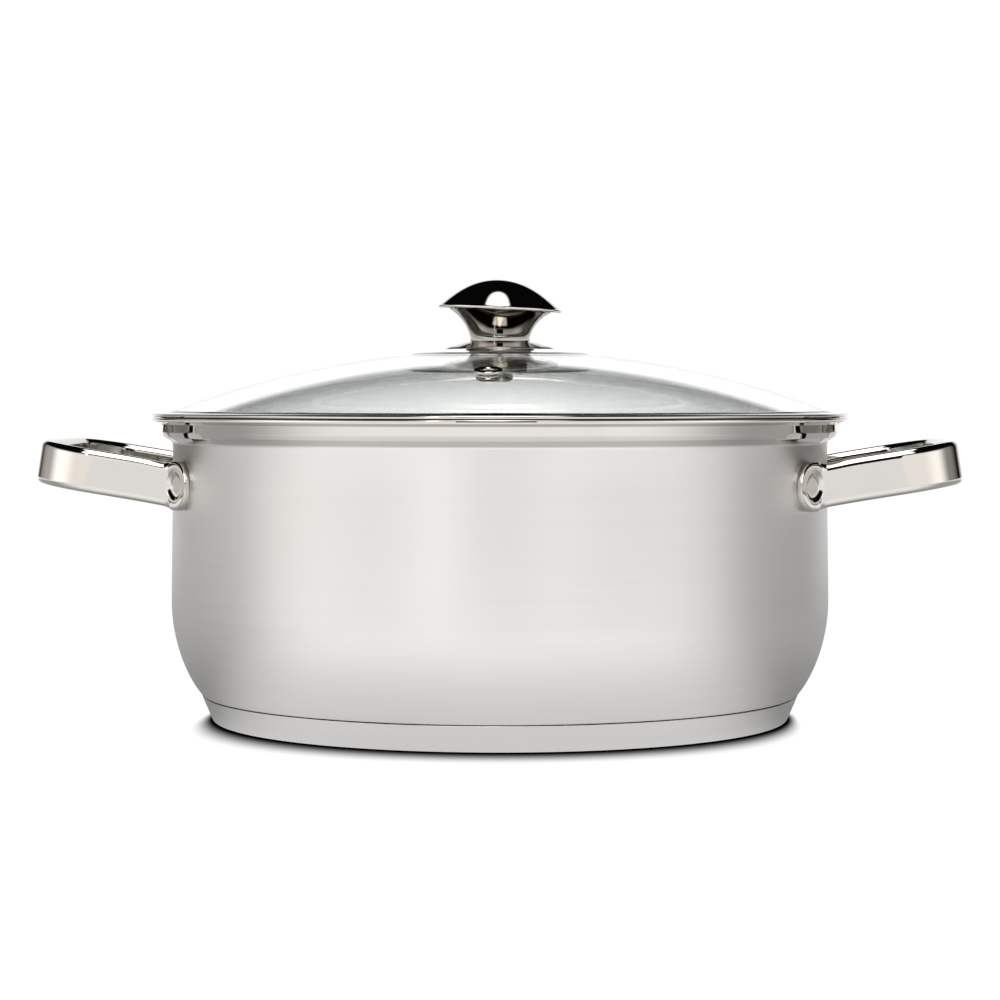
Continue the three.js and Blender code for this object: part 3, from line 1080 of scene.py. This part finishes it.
@dataclass
class Knob:
    """The knob's steel shells, its seat on the glass and the screw that holds it."""

    finishes: Finishes
    lean: float = math.radians(2.6)
    seat: float = field(default_factory=lambda: top_of("lid_glass"))
    base_radius: float = 20.0
    base_top: float = 4.4
    waist: float = 11.0
    skirt_radius: float = 18.8
    radius: float = 22.8
    rim: float = 16.4
    crown: float = 27.2
    glass: float = 4.0
    screw: float = 2.5
    segments: int = 160

    def build(self) -> None:
        """Builds the knob and its fastening."""
        steel, soft = self.finishes.polished, self.finishes.silicone
        self._turned("knob_cap", "crown", self._cap(), steel, closed=False, lean=self.lean)
        # The skirt and the seat take the darkened polished steel, which is painted shade.
        self._turned("knob_skirt", "flare", self._skirt(), self.finishes.knob, lean=self.lean)
        self._turned("knob_base", "seat", self._base(), self.finishes.knob)
        self._turned("knob_insert", "boss", self._insert(), self.finishes.aluminium, closed=False)
        self._turned("knob_screw", "pan", self._screw(), steel, closed=False)
        under = -self.glass
        bore = self.screw + SEAT_GAP
        self._washer("upper_seat_washer", 6.0, 11.5, 0.05, 0.85, soft)
        self._washer("screw_sleeve", bore, 4.2, under, 0.3, soft)
        self._washer("lower_seat_washer", bore, 10.0, under - 2.1, under - 0.1, soft)
        self._washer("screw_washer", bore, 8.0, under - 3.1, under - 2.2, steel)
        self._washer("lock_washer", bore, 4.6, under - 4.0, under - 3.3, steel)

    def _turned(
        self,
        node: str,
        word: str,
        corners: Sequence[Corner],
        material: bpy.types.Material,
        closed: bool = True,
        lean: float = 0.0,
    ) -> None:
        """Turns one piece about the knob's axis.

        Args:
            node: The node that it stands for.
            word: Ends the piece's name.
            corners: Its outline, with heights above the glass's seat.
            material: Its finish.
            closed: Whether the outline closes on itself.
            lean: How far the piece leans from the knob's rim up; its foot stays level.
        """
        shape = turned_mesh(rounded(corners, closed), closed, self.segments)
        for vert in shape.verts:
            share = (vert.co.z / MM - self.base_top) / (self.rim - 1 - self.base_top)
            vert.co.z -= vert.co.x * math.tan(lean) * min(max(share, 0.0), 1.0)
        bmesh.ops.translate(shape, verts=shape.verts, vec=(0, 0, self.seat * MM))
        piece = finish_mesh(f"{node}_{word}", shape, [material])
        settle(piece, BodyName.LID, [node])

    def _washer(
        self,
        node: str,
        bore: float,
        outer: float,
        bottom: float,
        top: float,
        material: bpy.types.Material,
    ) -> None:
        """Builds a washer.

        Args:
            node: The node that it stands for.
            bore: Its inner radius.
            outer: Its outer radius.
            bottom: Its lower face, above the glass's seat.
            top: Its upper face, above the glass's seat.
            material: Its finish.
        """
        edge = min(0.25, (top - bottom) * 0.4)
        corners = [
            Corner(bore, bottom, edge),
            Corner(outer, bottom, edge),
            Corner(outer, top, edge),
            Corner(bore, top, edge),
        ]
        self._turned(node, "ring", corners, material)

    def _cap(self) -> list[Corner]:
        """Returns the crown: a domed shell with a rolled rim."""
        crown = bezier(
            (self.radius - 0.25, self.rim + 0.35),
            (self.radius - 4.9, self.rim + 4.2),
            (self.radius - 12, self.crown),
            (0.0, self.crown),
            40,
        )
        under = [(max(r - 0.5, 0.0), z - 0.8) for r, z in reversed(crown[6:])]
        return [
            *corners_of(under),
            Corner(self.skirt_radius - 1, self.rim + 0.2, 0.3),
            Corner(self.skirt_radius - 1, self.rim - 0.6, 0.2),
            Corner(self.radius, self.rim - 0.7, 0.5),
            Corner(self.radius + 0.05, self.rim + 0.3, 0.4),
            *corners_of(crown),
        ]

    def _skirt(self) -> list[Corner]:
        """Returns the flared lower shell."""
        outside = bezier(
            (self.waist, self.base_top + 0.1),
            (self.waist, 8.2),
            (self.waist + 3, 13.2),
            (self.skirt_radius, self.rim - 0.8),
            32,
        )
        return corners_of([*outside, *reversed(inset(outside, 0.75))])

    def _base(self) -> list[Corner]:
        """Returns the conical seat plate, with a collar that stands inside the skirt."""
        top = self.base_top
        return [
            Corner(4.2, 0.9, 0.2),
            Corner(self.waist + 1.3, 0.9, 0.2),
            Corner(self.waist + 1.7, 1.45, 0.2),
            Corner(self.base_radius - 0.6, 1.5, 0.2),
            Corner(self.base_radius, 1.7, 0.2),
            Corner(self.base_radius - 0.5, 2.1, 0.3),
            Corner(self.waist + 2.4, top - 0.5, 1.6),
            Corner(self.waist, top, 0.5),
            Corner(self.waist - 1.9, top + 0.2, 0.3),
            Corner(self.waist - 1.9, top + 2.6, 0.3),
            Corner(self.waist - 3.4, top + 2.6, 0.3),
            Corner(self.waist - 3.4, top, 0.3),
            Corner(4.2, top, 0.2),
        ]

    def _insert(self) -> list[Corner]:
        """Returns the threaded boss."""
        bore = self.screw + SEAT_GAP
        return [
            Corner(0.0, 15.2),
            Corner(bore, 14.2, 0.2),
            Corner(bore, 5.1, 0.2),
            Corner(6.0, 5.1, 0.4),
            Corner(7.0, 6.2, 0.5),
            Corner(7.0, 18.2, 0.6),
            Corner(6.0, 19.2, 0.6),
            Corner(0.0, 19.2),
        ]

    def _screw(self) -> list[Corner]:
        """Returns the pan-head screw."""
        return [
            Corner(0.0, -10.4),
            Corner(3.4, -10.2, 0.8),
            Corner(4.8, -9.2, 0.8),
            Corner(5.0, -8.2, 0.2),
            Corner(self.screw, -8.2, 0.3),
            Corner(self.screw, 12.6, 0.3),
            Corner(self.screw - 0.8, 13.6, 0.3),
            Corner(0.0, 13.6),
        ]


# ---- Studio ----


@dataclass
class Studio:
    """A pale floor in a studio with a white backdrop, soft lights and a dark ceiling.

    The camera sees the floor and the room as plain white, apart from a shadow painted round the pot's
    foot. What the
    steel and the glass mirror is shaded: the room by its lights, the floor by painted shade near the
    pot and painted light in front and far off.
    """

    floor_size: float = 6.0
    white: float = 1.02
    dark: float = 0.003
    key_size: float = 1.6
    key_power: float = 8.0

    def build(self) -> None:
        """Builds the floor, the card, the surroundings and the lamp."""
        self._floor()
        self._card()
        self._world()
        self._key()

    def _floor(self) -> None:
        """Builds the floor, with a shadow painted round the pot's foot for the camera, and painted
        shade near the pot and painted light in front and far off in what the pot mirrors of it.
        """
        made = bpy.data.materials.new("studio_floor")
        tree = ShaderTree(made, "ShaderNodeOutputMaterial")
        place = tree.own_coordinates((1.0, 1.0, 0.0))
        away = tree.length(place)
        ahead = 0 - tree.parts(place)[1] / away
        foot = (reach_of("base_cap") - 3.5) * MM
        # Painted shadow: for the camera, the floor's white fades to black round the pot's foot,
        # reaching farther out in front.
        shadow_width = 0.004 + 0.024 * ahead.ramp(0.0, 1.0)
        painted_contact_shadow = ((away - foot) / shadow_width).ramp(0.0, 1.0)
        # Painted shade and light in what the pot mirrors: the floor is darker round the foot, lighter
        # in front, brighter far off and brighter still through the glass.
        painted_near_shade_and_light = (0.48 + 0.80 * ahead.ramp(0.1, 0.8)) * (0.62 + 0.38 * away.ramp(foot, 0.24))
        far = away.ramp(0.5, 1.5)
        painted_mirrored_floor = painted_near_shade_and_light + far * (1.15 - painted_near_shade_and_light) + tree.ray("Is Transmission Ray") * 0.6
        level = tree.mix_value(tree.ray("Is Camera Ray"), painted_mirrored_floor, self.white * painted_contact_shadow)
        tree.finish(tree.node("ShaderNodeEmission", None, {"Color": level, "Strength": 1.0}))
        shape = bmesh.new()
        bmesh.ops.create_grid(shape, x_segments=2, y_segments=2, size=self.floor_size)
        bmesh.ops.translate(shape, verts=shape.verts, vec=(0, 0, -0.0002))
        finish_mesh("floor", shape, [made])

    def _card(self) -> None:
        """Stands a dark card behind the camera, which the collar and the knob reflect."""
        made = bpy.data.materials.new("studio_card")
        tree = ShaderTree(made, "ShaderNodeOutputMaterial")
        grain = tree.noise((8.0, 8.0, 8.0), 2.0)
        colour = tree.mix_colour(grain, (0.010, 0.010, 0.010, 1.0), (0.014, 0.013, 0.012, 1.0))
        tree.finish(tree.node("ShaderNodeBsdfDiffuse", None, {"Color": colour, "Roughness": 0.5}))
        upright = Matrix.Rotation(math.pi / 2, 3, "X")
        shape = bmesh.new()
        bmesh.ops.create_grid(shape, x_segments=2, y_segments=2, size=0.5)
        bmesh.ops.scale(shape, verts=shape.verts, vec=(0.60, 0.42, 1.0))
        bmesh.ops.rotate(shape, verts=shape.verts, cent=(0, 0, 0), matrix=upright)
        bmesh.ops.translate(shape, verts=shape.verts, vec=(0.05, -1.40, 0.30))
        finish_mesh("card", shape, [made])

    @staticmethod
    def _low_lights(across: Sock, depth: Sock, height: Sock) -> Sock:
        """Lights the room with pale screens to the left, to the right and in front.

        Args:
            across: A direction's part to the right.
            depth: Its part to the back.
            height: Its upward part.

        Returns:
            The screens' brightness in that direction.
        """
        left = (0 - across).ramp(0.60, 0.98) * height.fade(0.30, 0.42) * 0.6
        right = across.ramp(0.70, 0.98) * height.fade(0.30, 0.42) * 0.35
        front = (0 - depth).ramp(-0.2, 0.3) * height.fade(0.16, 0.34) * 1.25
        return left + right + front

    @staticmethod
    def _high_lights(tree: ShaderTree, across: Sock, depth: Sock, height: Sock) -> Sock:
        """Lights the room with a long overhead box, a front softbox and a narrow strip.

        Args:
            tree: The tree to add to.
            across: A direction's part to the right.
            depth: Its part to the back.
            height: Its upward part.

        Returns:
            The lights' brightness in that direction.
        """
        safe = height.at_least(0.05)
        side = across / safe / 0.19
        along = (depth / safe - 0.1).at_least(0.0)
        spread = side * side + along * along / 0.14
        overhead = spread.fade(0.45, 1.15) * height.ramp(0.36, 0.46)
        bearing = tree.node("ShaderNodeMath", {"operation": "ARCTAN2"}, {0: across, 1: 0 - depth})
        window = bearing.absolute()
        softbox = window.fade(0.40, 0.55) * height.ramp(0.42, 0.50) * height.fade(0.80, 0.86)
        offset = (bearing + 0.33).absolute()
        strip = offset.fade(0.02, 0.05) * height.ramp(0.1, 0.2) * height.fade(0.6, 0.75)
        return overhead * 2.8 + softbox * 2.6 + strip * 2.0

    def _world(self) -> None:
        """Makes the surroundings: a backdrop, low screens and high lights in a dark room."""
        world = bpy.data.worlds.new("studio")
        bpy.context.scene.world = world
        tree = ShaderTree(world, "ShaderNodeOutputWorld")
        across, depth, height = tree.parts(tree.node("ShaderNodeTexCoord", result="Generated"))
        backdrop = depth.ramp(0.72, 0.96) * height.fade(0.30, 0.38)
        level = self.dark + backdrop + self._low_lights(across, depth, height)
        level = level + self._high_lights(tree, across, depth, height)
        lit = level * (1 + tree.ray("Is Transmission Ray") * 0.7)
        seen = tree.ray("Is Camera Ray")
        white = opaque((1.0, 1.0, 1.0))
        warm = tree.mix_colour(backdrop, opaque((1.0, 0.97, 0.94)), white)
        values = {
            "Color": tree.mix_colour(seen, warm, white),
            "Strength": tree.mix_value(seen, lit, self.white),
        }
        tree.finish(tree.node("ShaderNodeBackground", None, values))

    def _key(self) -> None:
        """Hangs the large lamp that lights the matt pieces."""
        lamp = bpy.data.lights.new("key", "AREA")
        lamp.shape = "RECTANGLE"
        lamp.size = self.key_size
        lamp.size_y = self.key_size
        lamp.energy = self.key_power
        made = bpy.data.objects.new("key", lamp)
        made.location = (-0.1, -0.5, 1.5)
        made.visible_camera = False
        made.visible_glossy = False
        made.visible_transmission = False
        bpy.context.scene.collection.objects.link(made)


@dataclass
class Viewpoint:
    """The camera, a little above the rim and a few degrees round to the right."""

    distance: float = 1.020
    height: float = 0.1191
    azimuth: float = math.radians(3.0)
    tilt: float = math.radians(2.19)
    focal: float = 99.4

    def build(self) -> None:
        """Makes the camera and sets the picture's tones."""
        lens = bpy.data.cameras.new("camera")
        lens.lens = self.focal
        lens.sensor_width = 36.0
        lens.clip_start = 0.05
        camera = bpy.data.objects.new("camera", lens)
        camera.location = (
            self.distance * math.sin(self.azimuth),
            -self.distance * math.cos(self.azimuth),
            self.height,
        )
        camera.rotation_euler = (math.pi / 2 - self.tilt, 0.0, self.azimuth)
        scene = bpy.context.scene
        scene.collection.objects.link(camera)
        scene.camera = camera
        scene.view_settings.view_transform = "Standard"
        scene.view_settings.look = "None"


def main() -> None:
    """Builds the pot, its lid, the studio and the camera."""
    logging.basicConfig(level=logging.INFO, format="%(name)s %(message)s")
    Viewpoint().build()
    finishes = Finishes()
    PotBody(finishes).build()
    Handle(finishes, side=1).build()
    Handle(finishes, side=-1).build()
    Lid(finishes).build()
    Knob(finishes).build()
    Studio().build()


if __name__ == "__main__":
    main()
